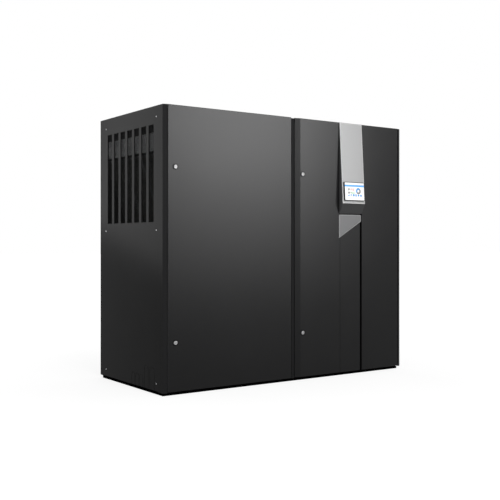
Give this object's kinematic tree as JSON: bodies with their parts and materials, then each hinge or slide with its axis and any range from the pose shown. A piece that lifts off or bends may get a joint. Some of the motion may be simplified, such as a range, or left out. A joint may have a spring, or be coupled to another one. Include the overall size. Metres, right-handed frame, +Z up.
{
  "type": "computer room air conditioner",
  "caption": "Floor-standing computer room air conditioner with hinged front doors, a slanted display console, perforated side intakes and a recessed plinth.",
  "frame": {"origin": "centre of the whole object's footprint box, on the floor", "axes": "+X to the right of someone facing the doors, -Y towards that person, +Z up"},
  "size_m": [2.222, 1.0528, 1.97],
  "materials": {
    "door_paint": "semi-gloss",
    "frame_paint": "matte",
    "plinth_paint": "matte",
    "galvanised": "satin",
    "grille_paint": "satin",
    "filter_media": "matte",
    "silver_paint": "satin",
    "cowl_grey": "matte",
    "accent_grey": "satin",
    "housing_black": "matte",
    "screen": "gloss",
    "latch_chrome": "polished"
  },
  "bodies": {
    "cabinet": {"base_front": "plinth_paint", "base_rear": "plinth_paint", "base_sides": "plinth_paint", "base_tray": "plinth_paint", "electric_cover": "galvanised", "filter_rails": "galvanised", "filters": "filter_media", "grille_left": "grille_paint", "grille_right": "grille_paint", "header_front": "frame_paint", "header_ring": "frame_paint", "hinge_brackets": "frame_paint", "inner_panel_left": "galvanised", "inner_panel_right": "galvanised", "post_front_left": "frame_paint", "post_front_right": "frame_paint", "post_middle": "frame_paint", "post_rear_left": "frame_paint", "post_rear_right": "frame_paint", "rear_panel_left": "door_paint", "rear_panel_right": "door_paint", "roof_panel": "door_paint", "side_panel_left": "door_paint", "side_panel_right": "door_paint", "strike_strips": "frame_paint"},
    "left_door": {"left_door_panel": "door_paint", "left_door_back": "galvanised", "left_door_hinges": "galvanised", "left_latch_collars": "housing_black"},
    "right_door": {"right_door_left_panel": "door_paint", "right_door_right_panel": "door_paint", "right_door_back": "galvanised", "right_door_hinges": "galvanised", "right_latch_collars": "housing_black", "display_column": "door_paint", "accent_plate": "accent_grey", "display_housing": "housing_black", "display_cowl": "cowl_grey", "display_bezel": "silver_paint", "display_module": "housing_black", "display_screen": "screen"},
    "left_latch_lower": {"left_latch_lower": "latch_chrome"},
    "left_latch_upper": {"left_latch_upper": "latch_chrome"},
    "right_latch_lower": {"right_latch_lower": "latch_chrome"},
    "right_latch_upper": {"right_latch_upper": "latch_chrome"}
  },
  "joints": [
    {"name": "left_door_hinge", "type": "hinge", "parent": "cabinet", "child": "left_door", "pos_m": [-0.035, -0.46563, 0.985], "axis": [0, 0, 1], "range_deg": [0, 100]},
    {"name": "right_door_hinge", "type": "hinge", "parent": "cabinet", "child": "right_door", "pos_m": [1.066, -0.46563, 0.985], "axis": [0, 0, 1], "range_deg": [0, 100]},
    {"name": "left_lower_latch_turn", "type": "hinge", "parent": "left_door", "child": "left_latch_lower", "pos_m": [-1.021, -0.47363, 0.356], "axis": [0, 1, 0], "range_deg": [0, 90]},
    {"name": "left_upper_latch_turn", "type": "hinge", "parent": "left_door", "child": "left_latch_upper", "pos_m": [-1.021, -0.47363, 1.55], "axis": [0, 1, 0], "range_deg": [0, 90]},
    {"name": "right_lower_latch_turn", "type": "hinge", "parent": "right_door", "child": "right_latch_lower", "pos_m": [0.079, -0.47363, 0.356], "axis": [0, 1, 0], "range_deg": [0, 90]},
    {"name": "right_upper_latch_turn", "type": "hinge", "parent": "right_door", "child": "right_latch_upper", "pos_m": [0.079, -0.47363, 1.55], "axis": [0, 1, 0], "range_deg": [0, 90]}
  ]
}
